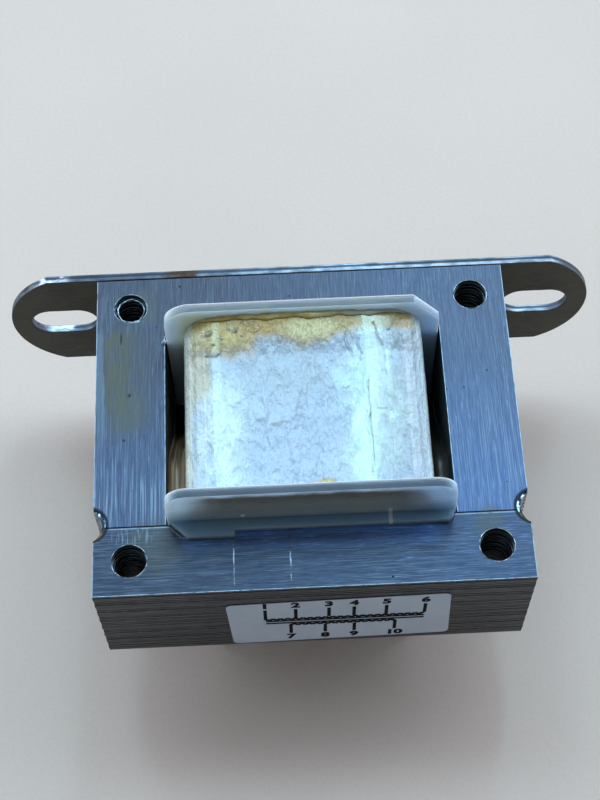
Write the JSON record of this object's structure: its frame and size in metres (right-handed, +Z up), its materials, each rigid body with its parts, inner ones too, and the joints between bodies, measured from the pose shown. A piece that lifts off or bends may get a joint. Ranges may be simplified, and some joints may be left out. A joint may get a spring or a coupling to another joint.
{
  "type": "pcb transformer",
  "caption": "Open-frame transformer: welded lamination core with slotted mounting ears, nylon bobbin with solder pins and a taped winding.",
  "frame": {"origin": "on the board side at the level of the pin tips, under the middle of the part's box", "axes": "+X along the laminations' width and the mounting plate's length, +Y from the label side towards the mounting plate, +Z up from the pin tips to the bare side of the winding"},
  "size_m": [0.071, 0.041, 0.035],
  "materials": {
    "core_steel": "rolled electrical sheet, satin, bluish",
    "weld_metal": "bare weld metal, shiny, heat tinted",
    "plate_steel": "cold-rolled steel, satin",
    "nylon": "natural nylon, milky and slightly translucent",
    "tape": "white polyester film tape, amber where varnish has soaked in",
    "film": "yellow polyester film",
    "enamelled_wire": "enamelled copper wire, glossy",
    "tinned_pin": "tin plated",
    "label": "white paper label, satin"
  },
  "bodies": {
    "root": {"e_laminations": "core_steel", "i_laminations": "core_steel", "weld_seam_left": "weld_metal", "weld_seam_right": "weld_metal", "mounting_plate": "plate_steel", "plate_weld_left": "weld_metal", "plate_weld_right": "weld_metal", "bobbin": "nylon", "primary_winding": "enamelled_wire", "winding_insulation": "film", "secondary_winding": "enamelled_wire", "outer_wrap": "tape", "pin_1": "tinned_pin", "pin_2": "tinned_pin", "pin_3": "tinned_pin", "pin_4": "tinned_pin", "pin_5": "tinned_pin", "pin_6": "tinned_pin", "pin_7": "tinned_pin", "pin_8": "tinned_pin", "pin_9": "tinned_pin", "pin_10": "tinned_pin", "lead_1": "enamelled_wire", "lead_2": "enamelled_wire", "lead_3": "enamelled_wire", "lead_4": "enamelled_wire", "lead_5": "enamelled_wire", "lead_6": "enamelled_wire", "lead_7": "enamelled_wire", "lead_8": "enamelled_wire", "lead_9": "enamelled_wire", "lead_10": "enamelled_wire", "label": "label"}
  },
  "joints": []
}
